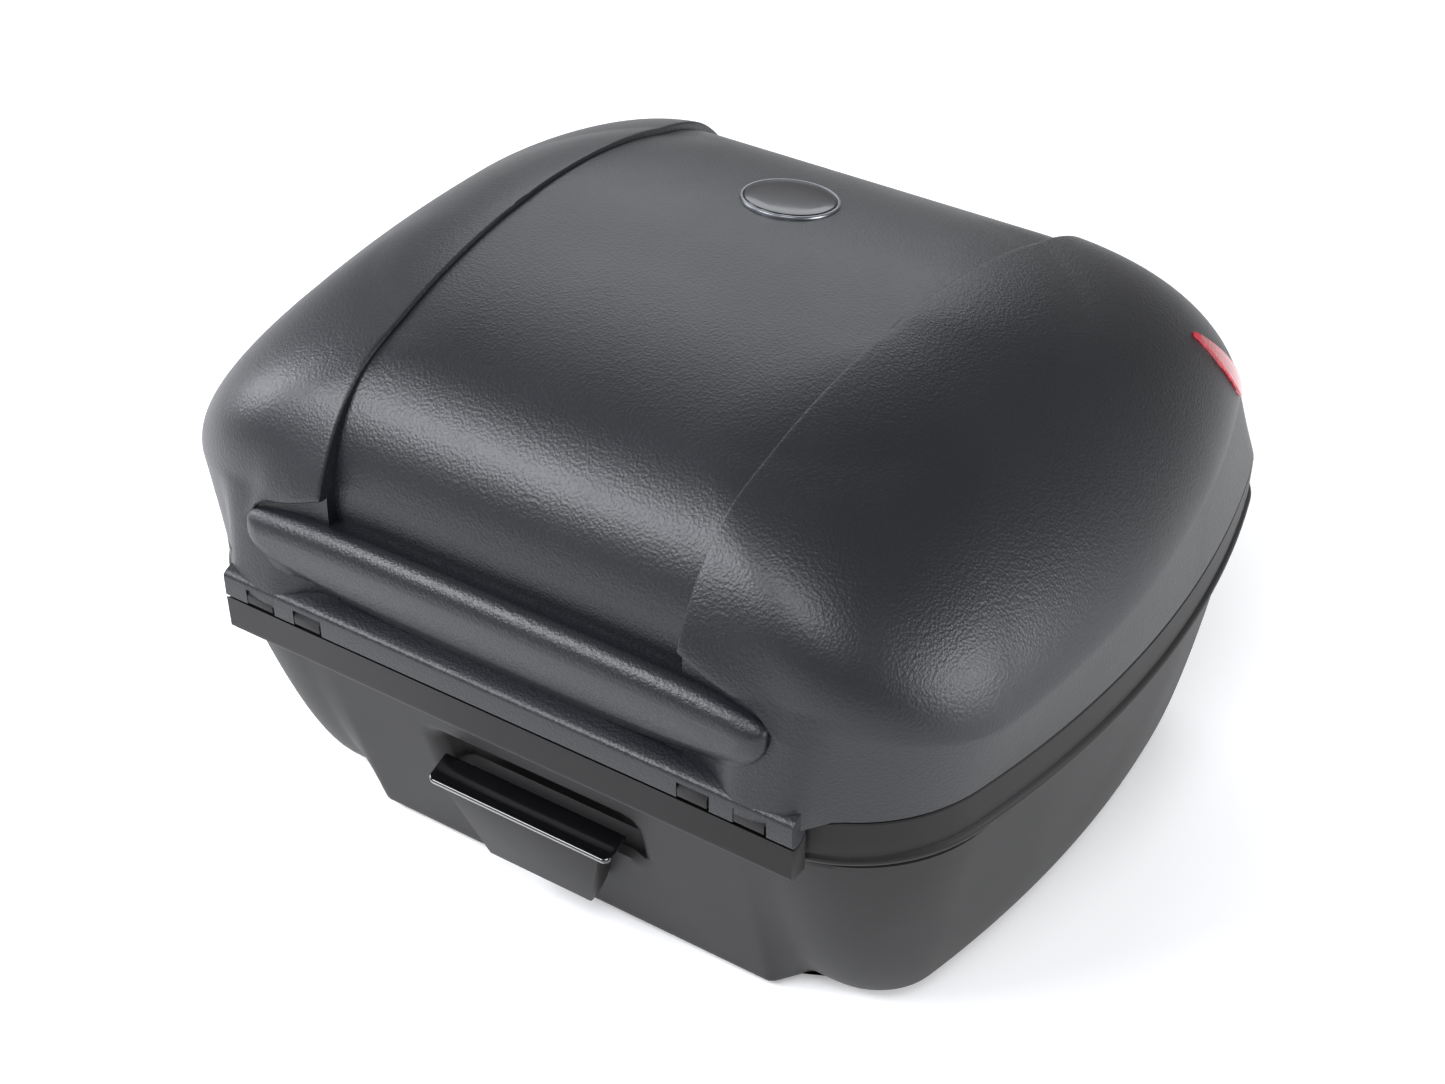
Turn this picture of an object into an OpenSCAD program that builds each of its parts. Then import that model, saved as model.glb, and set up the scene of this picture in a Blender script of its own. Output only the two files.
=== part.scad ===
/* [Case] */
// Overall width of the case
case_w = 505; // [440:1:600]
// Overall depth, from the hinge rail to the rear ridge
case_d = 420; // [370:1:500]
// Overall height, from the feet to the top of the lid
case_h = 333; // [300:1:390]
// Height of the seam between base and lid
seam_z = 178; // [165:1:210]
// Wall thickness of both shells
wall = 3; // [2:0.5:4]
// Gap between lid and base where they meet
seam_gap = 1.5; // [1:0.5:3]
// Slope of the base sides, inward from ridge to floor
side_taper = 35; // [20:1:50]

/* [Front panel and rack bay] */
// Half width of the flat front panel
panel_w = 128; // [100:1:129]
// Depth that the slanted panel sides fall back
panel_step = 25; // [15:1:30]
// Half width of the bay under the floor
bay_w = 122; // [100:1:130]
// Depth of the bay at its front end
bay_front_h = 30; // [28:1:36]
// Depth of the bay at its rear end
bay_rear_h = 20; // [14:1:26]

/* [Hinge] */
// Radius of the hinge pins
pin_r = 2.5; // [2:0.1:3]
// Radial clearance of every pin in its bore
run_gap = 0.05; // [0.02:0.01:0.1]
// Half length of the hinge rails
rail_w = 170; // [165:1:180]
// Width of one base knuckle
knuckle_w = 16.5; // [12:0.5:18]
// Radius of the round underside of the lid rail
rail_r = 6.6; // [6:0.1:7]

/* [Front cover] */
// Half length of the long oval cover
cover_w = 152; // [130:1:160]
// Height of the long oval cover
cover_h = 50; // [40:1:52]
// How far the cover stands off the lid
cover_t = 12; // [8:0.5:12.3]

/* [Release lever] */
// Half width of the lever at its top
lever_w = 50; // [40:1:60]
// Half width of the lever at its pivot end
lever_low_w = 32; // [30:1:36]
// Height of the lever above its pivot
lever_h = 53; // [44:1:60]
// How far the lever's face stands off the panel
lever_t = 17; // [16:0.5:20]
// Radius of the lever pin
lever_pin_r = 3; // [2.5:0.1:3.5]
// Radius of the rack's front and rear bars
bar_r = 6; // [5:0.5:7]

/* [Lock and handle] */
// Radius of the lock barrel
barrel_r = 7; // [6:0.5:9]
// Half width of the lock housing
housing_w = 34; // [28:1:40]
// Half distance between the handle arms
handle_w = 66; // [56:1:80]
// Length of the handle arms
handle_l = 44; // [36:1:60]
// Radius of the handle rod
handle_r = 4; // [3:0.5:5]

/* [Trim] */
// Radius of the round badge
badge_r = 24.5; // [18:0.5:30]
// Height of the rubber feet
foot_h = 4; // [3:0.5:8]
// Radius of the rubber feet
foot_r = 10; // [8:0.5:14]
// Radius of the screw heads
head_r = 3.6; // [3:0.1:4]

/* [Hidden] */
fit = 0.3;                          // space between separate bodies
thin = 0.01;                        // overrun that keeps cuts clean
front_y = -case_d / 2;
rear_y = case_d / 2;
half_w = case_w / 2;
hinge_y = front_y + 5.5;
hinge_z = seam_z - 0.5;
skin_y = hinge_y + rail_r + 0.4;    // outer face of both front walls, behind the rails
base_top = seam_z - seam_gap / 2;
lid_bottom = seam_z + seam_gap / 2;
ridge_z = seam_z - 26;
crease_z = seam_z + 40;
lid_front_z = seam_z + 60;          // where the front wall starts to curve back
rail_low_z = ridge_z - 1;
rail_top_z = hinge_z + 10;
groove_r = rail_r + 0.8;            // hollow in the base rail that the lid rail turns in
knuckles = [107.5, 138.5];          // inner ends of the knuckles
knuckle_r = 5.4;
pin_in = 94;                        // inner end of each hinge pin
bolt_z = bar_r + bar_r + 7;         // underside of the latch bolt, just over the front bar
handle_y = rear_y - 5.6;
panel_low = 55;                     // panel's lower edge behind the front plane
panel_high = 15;
panel_lean = atan2(panel_low - panel_high, ridge_z - foot_h);
lever_z = 43;                       // height of the lever pivot's foot on the panel
lever_off = 7.5;                    // pivot in front of the panel
crank_y = 30.2;                     // crank pin from the pivot, rearward
crank_z = -25;                      // crank pin from the pivot, downward
crank_pin_r = 3;
tunnel_w = 8;                       // half width of the crank's slot
bolt_w = 34;                        // half width of the latch bolt
bar_y0 = behind(89);                // axis of the rack's front bar
bar_y1 = rear_y - 89;               // axis of the rack's rear bar
bar_z = bar_r + 6.2;
saddle_x = 50;                      // inner side of each bar saddle
saddle_w = 16;
flange_w = 14;
badge_y = rear_y - 145;
lock_z = seam_z - 46;
handle_z = seam_z - 62;
arc_steps = 7;
side_steps = 6;
lid_rings = 13;
top_phi = 87;

function lerp(a, b, t) = a + (b - a) * t;
function behind(d) = front_y + d;
function panel_y(z) = behind(lerp(panel_low, panel_high, (z - foot_h) / (ridge_z - foot_h)));
function base_rise(z) = pow(max(0, min(1, (z - foot_h) / (ridge_z - foot_h))), 0.7);
function wall_y(z) = rear_y - lerp(side_taper, 8, base_rise(z));   // outer face of the rear wall

// Right half of a level outline: each entry is x, y and the direction that the wall faces there.
// Three tangent arcs: front corner rf, side bow about yc, rear corner rr.
function half(w, yc, bow, yf, yr, rf, rr) =
  let (cx = w - bow,
       fy = yf + rf,
       ry = yr - rr,
       fx = cx + sqrt(pow(bow - rf, 2) - pow(fy - yc, 2)),
       rx = cx + sqrt(pow(bow - rr, 2) - pow(ry - yc, 2)),
       a1 = atan2(fy - yc, fx - cx),
       a2 = atan2(ry - yc, rx - cx))
  concat(
    [for (i = [0 : 3]) [fx * i / 4, yf, -90]],
    [for (i = [0 : arc_steps]) let (a = lerp(-90, a1, i / arc_steps)) [fx + rf * cos(a), fy + rf * sin(a), a]],
    [for (i = [1 : side_steps - 1]) let (a = lerp(a1, a2, i / side_steps)) [cx + bow * cos(a), yc + bow * sin(a), a]],
    [for (i = [0 : arc_steps]) let (a = lerp(a2, 90, i / arc_steps)) [rx + rr * cos(a), ry + rr * sin(a), a]],
    [for (i = [3 : -1 : 0]) [rx * i / 4, yr, 90]]);

// Closed ring from a half outline: heights at the sides, the front and the rear blend by facing direction.
function ring(h, side_z, front_z, back_z) =
  let (p = [for (q = h) [q[0], q[1], lerp(side_z, q[2] < 0 ? front_z : back_z, pow(sin(q[2]), 2))]])
  concat(p, [for (i = [len(h) - 2 : -1 : 1]) [-p[i][0], p[i][1], p[i][2]]]);
function level(h, z) = ring(h, z, z, z);

// Solid through a list of rings, closed by a fan at each end.
module loft(rings) {
  m = len(rings);
  n = len(rings[0]);
  hubs = [for (r = [rings[0], rings[m - 1]]) (r[0] + r[n / 2]) / 2];
  points = concat([for (r = rings) each r], hubs);
  faces = concat(
    [for (i = [0 : n - 1]) [m * n, i, (i + 1) % n]],
    [for (k = [0 : m - 2]) for (i = [0 : n - 1]) let (j = (i + 1) % n, a = k * n, b = a + n)
      each [[a + i, b + i, b + j], [a + i, b + j, a + j]]],
    [for (i = [0 : n - 1]) [m * n + 1, (m - 1) * n + (i + 1) % n, (m - 1) * n + i]]);
  polyhedron(points, faces, convexity = 8);
}

// Base body at height z, moved inward by t: the front panel stands forward of the corner fronts.
function base_half(z, t) =
  let (v = base_rise(z),
       yf = behind(lerp(panel_low + panel_step, panel_high + 1, pow(max(0, (z - foot_h) / (ridge_z - foot_h)), 0.6))),
       h = half(half_w - lerp(side_taper, 6, v) - t, lerp(75, 30, v), 700 - t, yf + t, wall_y(z) - t,
                lerp(35, 80, v) - t, lerp(60, 48, v) - t),
       py = panel_y(z) + t)
  concat([[0, py, -90], [panel_w / 2, py, -90], [panel_w - 0.55 * t, py, -90], [panel_w + 16 - 0.55 * t, yf + t, -90]],
         [for (i = [4 : len(h) - 1]) h[i]]);
function rim_half(w, yr, t) =
  half(w - t, 35, 600 - t, skin_y + t, yr - t, 87 - t, 45 - t);
function bay_half(t, z) =
  half(bay_w + t, 0, 3000, behind(64) - t, rear_y - 70 + t, 15, 15);
bay_roof_z = foot_h + bay_front_h;
function bay_z(y, t) = foot_h + lerp(bay_front_h, bay_rear_h, (y - behind(64)) / (case_d - 134)) + t;
function bay_roof(t) = [for (q = level(bay_half(t, 0), 0)) [q[0], q[1], bay_z(q[1], t)]];
base_levels = [0, 0.04, 0.14, 0.3, 0.5, 0.75, 1];
function base_z(f, low) = lerp(low, ridge_z - 4, f);

// Place children on the panel, at the foot of the lever: x across, y into the case, z up the panel.
module on_panel() translate([0, panel_y(lever_z), lever_z]) rotate([panel_lean, 0, 0]) children();
// Place children at the lever's pivot, in upright axes.
module at_pivot() on_panel() translate([0, -lever_off, 0]) rotate([-panel_lean, 0, 0]) children();
// Cylinder along X, centred on x.
module bar_x(r, l, x = 0) translate([x - l / 2, 0, 0]) rotate([0, 90, 0]) cylinder(r = r, h = l, $fn = 48);
// Cylinder along Y from y0 to y1.
module bar_y(r, y0, y1) translate([0, y0, 0]) rotate([-90, 0, 0]) cylinder(r = r, h = y1 - y0, $fn = 48);
// Profile in the YZ plane, extruded from x0 to x1.
module along_x(x0, x1) translate([x0, 0, 0]) rotate([90, 0, 90]) linear_extrude(x1 - x0) children();
// Round-headed screw, head at the origin, shank along -Z.
module screw(l, r = 2) {
  translate([0, 0, -l]) cylinder(r = r, h = l, $fn = 24);
  difference() {
    cylinder(r = head_r, h = 2.2, $fn = 32);
    translate([0, 0, 1]) cylinder(r = 1.6, h = 2, $fn = 6);
  }
}

module base_shell() color("#2b2a2a") difference() {
  union() {
    loft(concat(
      [bay_roof(0), level(bay_half(0, 0), foot_h)],
      [for (f = base_levels) let (z = base_z(f, foot_h)) level(base_half(z, 0), z)],
      [level(rim_half(half_w, rear_y, 0), ridge_z), level(rim_half(half_w, rear_y, 0), ridge_z + 3)],
      [for (z = [ridge_z + 6, base_top]) level(rim_half(half_w - 2, rear_y - 1.5, 0), z)],
      [for (z = [base_top, ridge_z]) level(rim_half(half_w - 2, rear_y - 1.5, wall), z)],
      [for (i = [len(base_levels) - 1 : -1 : 0]) let (z = base_z(base_levels[i], foot_h + wall)) level(base_half(z, wall), z)],
      [level(bay_half(wall, 0), foot_h + wall), bay_roof(wall)]));
    crank_housing();
  }
  crank_tunnel();
  translate([0, 0, lock_z]) bar_y(barrel_r + 0.5, wall_y(lock_z) - 20, wall_y(lock_z) + 20);
}
// Housing inside the front wall that lets the lever's crank reach the bay, and the tunnel through it.
module crank_housing() along_x(-tunnel_w - wall, tunnel_w + wall)
  polygon([[panel_y(foot_h + 1) + 1, foot_h + 1], [panel_y(48) + 1, 48], [behind(60), 48], [behind(69), 40],
           [behind(69), bay_roof_z + 1], [behind(64) - 0.5, bay_roof_z + 1], [behind(64) - 0.5, foot_h + 1]]);
module crank_tunnel() along_x(-tunnel_w, tunnel_w)
  polygon([[panel_y(21) - 5, 21], [panel_y(21) + 2, 21], [behind(60), 9], [behind(75), 9], [behind(75), 30],
           [behind(66), 37], [behind(60), 44], [panel_y(44) - 5, 44]]);

// Place children at the middle of each base knuckle.
module at_knuckles() for (s = [-1, 1]) for (x = knuckles) translate([s * (x + knuckle_w / 2), 0, 0]) children();
module base_hinge_rail() color("#2b2a2a") difference() {
  union() {
    along_x(-rail_w, rail_w) difference() {
      polygon([[front_y, rail_low_z], [skin_y, rail_low_z], [skin_y, base_top], [front_y, base_top]]);
      translate([hinge_y, hinge_z]) circle(r = groove_r, $fn = 64);
      translate([front_y - 1, hinge_z - 4]) square([skin_y - front_y - 1, 20]);
    }
    at_knuckles() along_x(-knuckle_w / 2, knuckle_w / 2) {
      translate([hinge_y, hinge_z]) circle(r = knuckle_r, $fn = 48);
      polygon([[front_y, rail_low_z + 4], [skin_y, rail_low_z + 4], [skin_y, hinge_z - 2], [hinge_y + knuckle_r, hinge_z],
               [hinge_y - knuckle_r, hinge_z], [front_y, hinge_z - 4]]);
    }
  }
  translate([0, hinge_y, hinge_z]) bar_x(pin_r + run_gap, 2 * rail_w + 10);
}
module hinge_pin(s) color("#8a8a88") translate([0, hinge_y, hinge_z])
  bar_x(pin_r, rail_w - pin_in - 0.3, s * (rail_w + pin_in - 0.3) / 2);
module hinge_pin_left() hinge_pin(-1);
module hinge_pin_right() hinge_pin(1);

// Ring-shaped solid through a closed loop of rings.
module hoop(rings) {
  m = len(rings);
  n = len(rings[0]);
  polyhedron([for (r = rings) each r],
    [for (k = [0 : m - 1]) for (i = [0 : n - 1]) let (j = (i + 1) % n, a = k * n, b = ((k + 1) % m) * n)
      each [[a + i, b + i, b + j], [a + i, b + j, a + j]]], convexity = 8);
}
function rim_edge(t, z) = level(rim_half(half_w - 2, rear_y - 1.5, wall + t), z);
module rim_seal() color("#161616") hoop([rim_edge(0.1, base_top - 6), rim_edge(0.1, base_top + 0.5),
  rim_edge(2.4, base_top + 0.5), rim_edge(2.4, base_top - 6)]);
module floor_mat() color("#1d1d1f") along_x(-bay_w + 8, bay_w - 8) {
  y0 = behind(72);
  y1 = rear_y - 80;
  polygon([[y0, bay_z(y0, wall)], [y1, bay_z(y1, wall)], [y1, bay_z(y1, wall + 2)], [y0, bay_z(y0, wall + 2)]]);
}
module rubber_feet() color("#121212") for (s = [-1, 1]) for (y = [behind(112), rear_y - 75])
  translate([s * (half_w - side_taper - 52), y, 0]) cylinder(r = foot_r, h = foot_h, $fn = 48);

// Block under the bay's roof from y - front to y + back, with a flange outside it for its screw.
module roof_block(x, y, front, back, low) {
  along_x(x, x + saddle_w)
    polygon([[y - front, low], [y + back, low], [y + back, bay_z(y + back, 0)], [y - front, bay_z(y - front, 0)]]);
  along_x(x + saddle_w - thin, x + saddle_w + flange_w)
    polygon([[y - 8, bay_z(y - 8, -4)], [y + 8, bay_z(y + 8, -4)], [y + 8, bay_z(y + 8, 0)], [y - 8, bay_z(y - 8, 0)]]);
}
// Children and their mirror image.
module mirrored() { children(); mirror([1, 0, 0]) children(); }
module bar_saddles() color("#242424") mirrored() difference() {
  roof_block(saddle_x, bar_y0, 10, 10, bar_z);
  translate([0, bar_y0, bar_z]) bar_x(bar_r + run_gap, 200);
}
module rear_hooks() color("#242424") mirrored() difference() {
  union() {
    roof_block(saddle_x, bar_y1, 10, 10, bar_z);
    along_x(saddle_x, saddle_x + saddle_w)
      polygon([[bar_y1 - 12, 1.5], [bar_y1 - 2, 1.5], [bar_y1 - 2, bar_z - bar_r - 0.2], [bar_y1 - 6, bar_z - bar_r + 0.5],
               [bar_y1 - 6, bar_z + 4], [bar_y1 - 12, bar_z + 4]]);
  }
  translate([0, bar_y1, bar_z]) bar_x(bar_r + run_gap, 200);
}
module bolt_guides() color("#242424") mirrored() for (y = [bar_y0 - 17, bar_y0 + 14])
  along_x(bolt_w + 0.4, bolt_w + 7) polygon([[y, 14], [y + 8, 14], [y + 8, bay_z(y + 8, 0)], [y, bay_z(y, 0)]]);
module guide_lips() color("#242424") mirrored() for (y = [bar_y0 - 17, bar_y0 + 14])
  translate([bolt_w - 5, y, 14]) cube([5.4 + thin, 8, bolt_z - 14.5]);
module base_screws() color("#6f6f6d") {
  mirrored() for (y = [bar_y0, bar_y1])
    translate([saddle_x + saddle_w + flange_w / 2 + 1, y, bay_z(y, -4)]) mirror([0, 0, 1]) screw(5.5);
  mirrored() on_panel() translate([14, -3, 22]) rotate([90, 0, 0]) screw(5);
  mirrored() for (x = [30, 90, 150]) translate([x * 0.9, skin_y + wall, rail_low_z + 10]) rotate([-90, 0, 0]) screw(9);
}

module lever_outline(inset) polygon([[-lever_low_w + inset, -6.5 - inset], [lever_low_w - inset, -6.5 - inset],
  [lever_w - inset, lever_h - inset], [-lever_w + inset, lever_h - inset]]);
// Wedge across the panel between two depths in front of it.
module lever_prism(y0, y1, inset) translate([0, y1, 0]) rotate([90, 0, 0]) linear_extrude(y1 - y0) lever_outline(inset);
module lever_bracket() color("#3a3a3a") on_panel() {
  translate([-26, -3, 10]) cube([52, 2.95, 24]);
  mirrored() difference() {
    along_x(22, 26) {
      translate([-lever_off, 0]) circle(r = 5, $fn = 48);
      polygon([[-0.05, 34], [-3, 34], [-lever_off - 5, 0], [-lever_off + 5, 0], [-0.05, 10]]);
    }
    translate([0, -lever_off, 0]) bar_x(lever_pin_r + run_gap, 100);
  }
}
module lever_pin() color("#8a8a88") at_pivot() bar_x(lever_pin_r, 2 * lever_low_w - 1);
// Coil of round wire about X from x0, with a straight leg at its outer end.
wire_sides = 8;
coil_steps = 12;
function wire_ring(r, wire, x, a) = [for (k = [0 : wire_sides - 1]) let (b = 360 * k / wire_sides, q = r + wire * cos(b))
  [x + wire * sin(b), q * cos(a), q * sin(a)]];
function wire_leg(r, wire, x, l) = [for (p = wire_ring(r, wire, x, 0)) [p[0], p[1], -l]];
module coil(r, wire, turns, pitch, x0)
  loft(concat([wire_leg(r, wire, x0, 5)],
    [for (i = [0 : turns * coil_steps]) wire_ring(r, wire, x0 + pitch * i / coil_steps, 360 * i / coil_steps)]));
module lever_spring() color("#9a9a98") on_panel() translate([0, -lever_off, 0]) coil(4.4, 0.6, 5, 2.2, 8);
module release_lever() color("#2b2a2a") difference() {
  union() {
    on_panel() intersection() {
      difference() {
        lever_prism(-lever_t, -0.8, 0);
        lever_prism(-lever_t + 4, 1, 4);
      }
      along_x(-lever_w - 1, lever_w + 1) {
        polygon([[-lever_t, lever_h], [-0.8, lever_h], [-0.8, 7], [-1, 0], [-lever_off, -6.5], [-lever_t + 3, -6.5], [-lever_t, -3.5]]);
      }
    }
    at_pivot() along_x(-5.5, 5.5) {
      rotate(panel_lean) translate([-lever_t + 3 + lever_off, -4]) square([lever_t - 5 - lever_off, 14]);
      circle(r = 5.4, $fn = 48);
      translate([crank_y, crank_z]) circle(r = 5, $fn = 48);
      rotate(atan2(crank_z, crank_y)) translate([0, -4]) square([norm([crank_y, crank_z]), 8]);
    }
  }
  at_pivot() bar_x(lever_pin_r + run_gap, 120);
  at_pivot() translate([0, crank_y, crank_z]) bar_x(crank_pin_r, 40);
}
module crank_pin() color("#8a8a88") at_pivot() translate([0, crank_y, crank_z]) bar_x(crank_pin_r, 28);
module grip_plate() color("#0c0c0d") on_panel() translate([0, 0, lever_h]) linear_extrude(3) {
  translate([-lever_w - 7, -lever_t + 4]) square([2 * lever_w + 14, lever_t - 5]);
  translate([-lever_w - 1, -lever_t - 2]) square([2 * lever_w + 2, 7]);
  for (s = [-1, 1]) translate([s * (lever_w + 1), -lever_t + 4]) circle(r = 6, $fn = 48);
}
module grip_screws() color("#6f6f6d") on_panel() mirrored() translate([30, -lever_t / 2, lever_h - 4]) mirror([0, 0, 1]) screw(6);

bolt_y = panel_y(lever_z) - lever_off * cos(panel_lean) + crank_y + crank_pin_r + 0.9;
module latch_bolt() color("#4a4a4a") {
  y0 = bolt_y;
  y1 = bar_y0 + bar_r + 0.3;
  difference() {
    union() {
      translate([-bolt_w, y0, bolt_z]) cube([2 * bolt_w, y1 + 22 - y0, 5]);
      translate([-14, y0, bolt_z - 7]) cube([28, 4, 19]);
    }
    translate([-6.5, y0 - 1, bolt_z - 8]) cube([13, 5, 30]);
  }
  along_x(-20, 20) polygon([[y1, bolt_z + 1], [y1, bar_z - bar_r - 0.5], [y1 - 5, bar_z - bar_r - 0.5], [y1 - 5, 1.5],
                            [y1 + 5, 1.5], [y1 + 5, bolt_z + 1]]);
}

function rear_skin(z) = lookup(z, [for (f = base_levels) let (q = base_z(f, foot_h)) [q, wall_y(q)]]);
lock_face = rear_y - 2.5;
module lock_housing() color("#1c1c1d") difference() {
  along_x(-housing_w, housing_w)
    polygon([[rear_skin(lock_z - 16) + 0.05, lock_z - 16], [rear_skin(lock_z + 13) + 0.05, lock_z + 13],
             [lock_face - 1, lock_z + 13], [lock_face, lock_z + 11], [lock_face, lock_z - 12], [lock_face - 4, lock_z - 16]]);
  translate([0, 0, lock_z]) bar_y(barrel_r + run_gap, rear_y - 40, rear_y + 10);
}
module housing_screws() color("#6f6f6d") mirrored() translate([housing_w - 8, rear_skin(lock_z) - wall, lock_z])
  rotate([90, 0, 0]) screw(9);
module handle_lug(s) color("#1c1c1d") difference() {
  along_x(min(s * (handle_w - 5), s * (handle_w - 11)), max(s * (handle_w - 5), s * (handle_w - 11))) {
    translate([handle_y, handle_z]) circle(r = 5, $fn = 48);
    polygon([[rear_skin(handle_z - 12) + 0.2, handle_z - 12], [handle_y + 2, handle_z - 4.5], [handle_y + 2, handle_z + 4.5],
             [rear_skin(handle_z + 12) + 0.2, handle_z + 12]]);
  }
  translate([0, handle_y, handle_z]) bar_x(pin_r, 400);
}
module handle_lug_left() handle_lug(-1);
module handle_lug_right() handle_lug(1);
module handle_pin(s) color("#8a8a88") translate([0, handle_y, handle_z]) bar_x(pin_r, 16, s * (handle_w - 3.5));
module handle_pin_left() handle_pin(-1);
module handle_pin_right() handle_pin(1);
module carry_handle() color("#242424") difference() {
  union() {
    mirrored() {
      translate([0, handle_y, handle_z]) bar_x(handle_r + 1.2, 8, handle_w);
      translate([handle_w, handle_y, handle_z - handle_l]) cylinder(r = handle_r, h = handle_l, $fn = 32);
      translate([handle_w, handle_y, handle_z - handle_l]) sphere(r = handle_r, $fn = 32);
    }
    translate([0, handle_y, handle_z - handle_l]) bar_x(handle_r, 2 * handle_w);
  }
  translate([0, handle_y, handle_z]) bar_x(pin_r + run_gap, 400);
}
module handle_sleeve() color("#101010") translate([0, handle_y, handle_z - handle_l]) difference() {
  bar_x(handle_r + 1.3, 2 * handle_w - 26);
  bar_x(handle_r + run_gap, 2 * handle_w);
}
cam_y = rear_skin(lock_z) - wall - 11;
module lock_barrel() color("#b4b4b2") translate([0, 0, lock_z]) difference() {
  union() {
    bar_y(barrel_r, cam_y + 4, lock_face);
    bar_y(barrel_r + 1.5, lock_face, lock_face + 1.8);
    bar_y(3, cam_y - 3, cam_y + 5);
  }
  translate([-0.8, lock_face - 4, -4]) cube([1.6, 8, 8]);
}
module lock_cam() color("#8a8a88") translate([0, cam_y + 4, lock_z]) rotate([90, 0, 0]) difference() {
  linear_extrude(4) {
    circle(r = 6.5, $fn = 48);
    translate([-4, 0]) square([8, 14]);
    translate([0, 14]) circle(r = 4, $fn = 48);
  }
  translate([0, 0, -1]) cylinder(r = 3, h = 10, $fn = 48);
}
module cam_nut() color("#9a9a98") translate([0, cam_y, lock_z]) rotate([90, 0, 0]) difference() {
  cylinder(r = 5.5, h = 3, $fn = 6);
  translate([0, 0, -1]) cylinder(r = 3, h = 10, $fn = 48);
}

// Lid dome: ring at climb angle phi, from the crease (0) to the top, moved inward and down by t.
function lid_ring(phi, t) =
  let (u = sin(phi) / sin(top_phi), c = cos(phi), dome = case_h - crease_z,
       w = 100 + (half_w - 4.5 - 100) * pow(c, 4 / 3),
       yf = behind(180) - (behind(180) - skin_y) * pow(c, 2 / 2.6),
       yr = behind(200) + (rear_y - 4 - behind(200)) * pow(c, 2 / 2.2),
       d = (yr - yf) / 2, rf = min(88 + 14 * u, 0.8 * d), rr = min(45 + 80 * u, 0.8 * d))
  ring(half(w - t, behind(205), 600 - t, yf + t, yr - t, rf - t, rr - t),
       crease_z + dome * pow(u, 4 / 3) - t, lid_front_z + (case_h - lid_front_z) * pow(u, 2 / 2.6) - t,
       crease_z + dome * pow(u, 2 / 2.2) - t);
function lid_top(y) = crease_z + (case_h - crease_z) * pow(1 - pow((y - behind(200)) / (rear_y - 4 - behind(200)), 2.2), 1 / 2.2);
module on_badge() translate([0, badge_y, lid_top(badge_y)])
  rotate([atan2(lid_top(badge_y + 10) - lid_top(badge_y - 10), 20), 0, 0]) children();
module lid_shell() color("#2c2d30") difference() {
  loft(concat([for (k = [lid_rings : -1 : 0]) lid_ring(top_phi * k / lid_rings, wall)],
    [for (t = [wall, 0]) level(rim_half(half_w - 2, rear_y - 1.5, t), lid_bottom)],
    [for (k = [0 : lid_rings]) lid_ring(top_phi * k / lid_rings, 0)]));
  on_badge() translate([0, 0, -1.5]) cylinder(r = badge_r + 3, h = 20, $fn = 64);
}
module lid_hinge_rail() color("#2c2d30") difference() {
  along_x(-rail_w, rail_w) intersection() {
    union() {
      translate([hinge_y, hinge_z]) circle(r = rail_r, $fn = 64);
      translate([front_y, hinge_z]) square([skin_y - front_y - 0.02, rail_top_z - hinge_z]);
    }
    translate([front_y, hinge_z - 20]) square([40, 60]);
  }
  at_knuckles() translate([-knuckle_w / 2 - fit, front_y - 1, hinge_z - 10]) cube([knuckle_w + 2 * fit, 30, 10 + knuckle_r + 0.6]);
  translate([0, hinge_y, hinge_z]) bar_x(pin_r + run_gap, 2 * rail_w + 10);
}
module rail_screws() color("#6f6f6d") mirrored() for (x = [25, 80]) translate([x, skin_y + wall, hinge_z + 5.5]) rotate([-90, 0, 0]) screw(6.5, 1.5);
// Long oval cover: rings of a squared oval, stacked outward from the lid's front wall.
cover_up = 16;                      // height of the oval above the line between its tips
function oval(in, y) = [for (i = [0 : 47]) let (a = 7.5 * i, c = cos(a), s = sin(a),
  x = (cover_w - in) * sign(c) * pow(abs(c), 2 / 3.5),
  z = s > 0 ? (cover_up - in) * pow(s, 2 / 5) : -(cover_h - cover_up - in) * pow(-s, 2 / 1.9))
  [x, y, lid_front_z - cover_up + z + 1]];
module front_cover() color("#2c2d30")
  loft([for (q = [[0, 0], [0, 3], [0.8, 5.5], [2.4, 8], [5, 10.2], [8.5, cover_t]]) oval(q[0], skin_y - 0.05 - q[1])]);
module badge() color("#0d0d10") on_badge() translate([0, 0, -1.45]) cylinder(r = badge_r, h = 3, $fn = 64);
module badge_rim() color("#c8c8c8") on_badge() translate([0, 0, -1.45]) difference() {
  cylinder(r = badge_r + 2.2, h = 2.4, $fn = 64);
  translate([0, 0, -1]) cylinder(r = badge_r + 0.05, h = 6, $fn = 64);
}
// Patch of the lid's rear corner between two skins a and b, each a grid of points.
function quad(p, q, r, s) = [[p, q, r], [p, r, s]];
module patch(a, b) {
  m = len(a);
  n = len(a[0]);
  o = m * n;
  polyhedron(concat([for (r = a) each r], [for (r = b) each r]), concat(
    [for (k = [0 : m - 2]) for (i = [0 : n - 2]) let (p = k * n + i)
      each concat(quad(p, p + n, p + n + 1, p + 1), quad(o + p, o + p + 1, o + p + n + 1, o + p + n))],
    [for (k = [0 : m - 2]) let (p = k * n, q = p + n - 1)
      each concat(quad(p, o + p, o + p + n, p + n), quad(q, q + n, o + q + n, o + q))],
    [for (i = [0 : n - 2]) let (q = (m - 1) * n + i)
      each concat(quad(i, i + 1, o + i + 1, o + i), quad(q, o + q, o + q + 1, q + 1))]), convexity = 6);
}
function along(r, q) = lerp(r[floor(q)], r[ceil(q)], q - floor(q));
function reflector_skin(t) = [for (k = [0 : 5]) let (r = lid_ring(3 + 5.5 * k, t)) [for (i = [0 : 8]) along(r, lerp(17 + 0.35 * k, 25, i / 8))]];
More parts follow.
